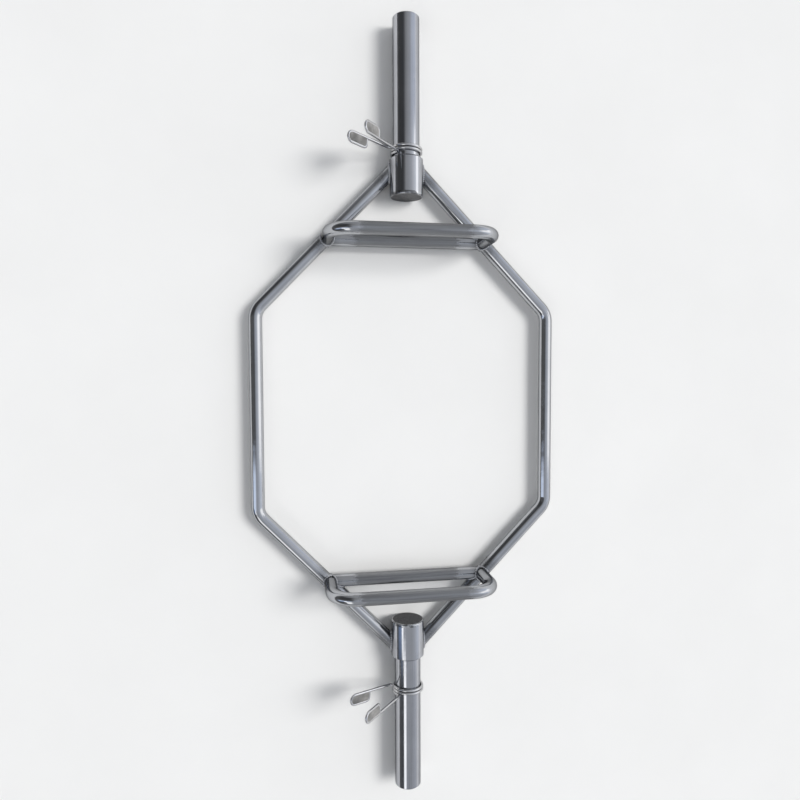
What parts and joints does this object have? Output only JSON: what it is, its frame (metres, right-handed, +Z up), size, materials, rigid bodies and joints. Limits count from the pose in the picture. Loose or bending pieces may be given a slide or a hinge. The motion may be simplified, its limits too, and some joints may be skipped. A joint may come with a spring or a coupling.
{
  "type": "hex trap bar",
  "caption": "Chromed hexagonal lifting frame to stand inside, with low and raised knurled grips, loading sleeves for weight plates and sprung wire clips.",
  "frame": {"origin": "on the floor under the middle of the hexagon, where the hubs rest", "axes": "+Y along the loading sleeves towards the front one, +X towards the right rail, +Z up to the raised grips"},
  "size_m": [0.589, 1.466, 0.1459],
  "materials": {
    "frame_chrome": "bright chrome plate on bent steel tube",
    "hub_chrome": "bright chrome plate on turned steel",
    "sleeve_chrome": "bright chrome plate, lightly scuffed along the loading length",
    "grip_chrome": "chrome plate over a diamond knurl in the middle, smooth ends",
    "weld_chrome": "chromed weld bead with a rippled surface",
    "spring_wire": "bright chromed spring wire",
    "pad_vinyl": "soft grey vinyl, matt"
  },
  "bodies": {
    "frame": {"left_frame_tube": "frame_chrome", "right_frame_tube": "frame_chrome", "front_hub": "hub_chrome", "front_hub_cap": "hub_chrome", "front_sleeve": "sleeve_chrome", "front_sleeve_plug": "sleeve_chrome", "front_low_grip": "grip_chrome", "front_high_grip": "grip_chrome", "front_hub_welds": "weld_chrome", "front_sleeve_weld": "weld_chrome", "front_grip_welds": "weld_chrome", "rear_hub": "hub_chrome", "rear_hub_cap": "hub_chrome", "rear_sleeve": "sleeve_chrome", "rear_sleeve_plug": "sleeve_chrome", "rear_low_grip": "grip_chrome", "rear_high_grip": "grip_chrome", "rear_hub_welds": "weld_chrome", "rear_sleeve_weld": "weld_chrome", "rear_grip_welds": "weld_chrome"},
    "front_clip": {"front_clip_coil": "spring_wire", "front_clip_fixed_arm": "spring_wire", "front_clip_fixed_pad": "pad_vinyl"},
    "front_clip_lever": {"front_clip_lever_arm": "spring_wire", "front_clip_lever_pad": "pad_vinyl"},
    "rear_clip": {"rear_clip_coil": "spring_wire", "rear_clip_fixed_arm": "spring_wire", "rear_clip_fixed_pad": "pad_vinyl"},
    "rear_clip_lever": {"rear_clip_lever_arm": "spring_wire", "rear_clip_lever_pad": "pad_vinyl"}
  },
  "joints": [
    {"name": "front_clip_slide", "type": "slide", "parent": "frame", "child": "front_clip", "axis": [0, 1, 0], "range_m": [-0.003, 0.235]},
    {"name": "front_clip_squeeze", "type": "hinge", "parent": "front_clip", "child": "front_clip_lever", "pos_m": [0, 0.487, 0.0315], "axis": [0, 1, 0], "range_deg": [0, 18], "stiffness_Nm_per_rad": 12, "deforming": ["front_clip_coil"]},
    {"name": "rear_clip_slide", "type": "slide", "parent": "frame", "child": "rear_clip", "axis": [0, -1, 0], "range_m": [-0.054, 0.182]},
    {"name": "rear_clip_squeeze", "type": "hinge", "parent": "rear_clip", "child": "rear_clip_lever", "pos_m": [0, -0.54, 0.0315], "axis": [0, 1, 0], "range_deg": [0, 18], "stiffness_Nm_per_rad": 12, "deforming": ["rear_clip_coil"]}
  ]
}
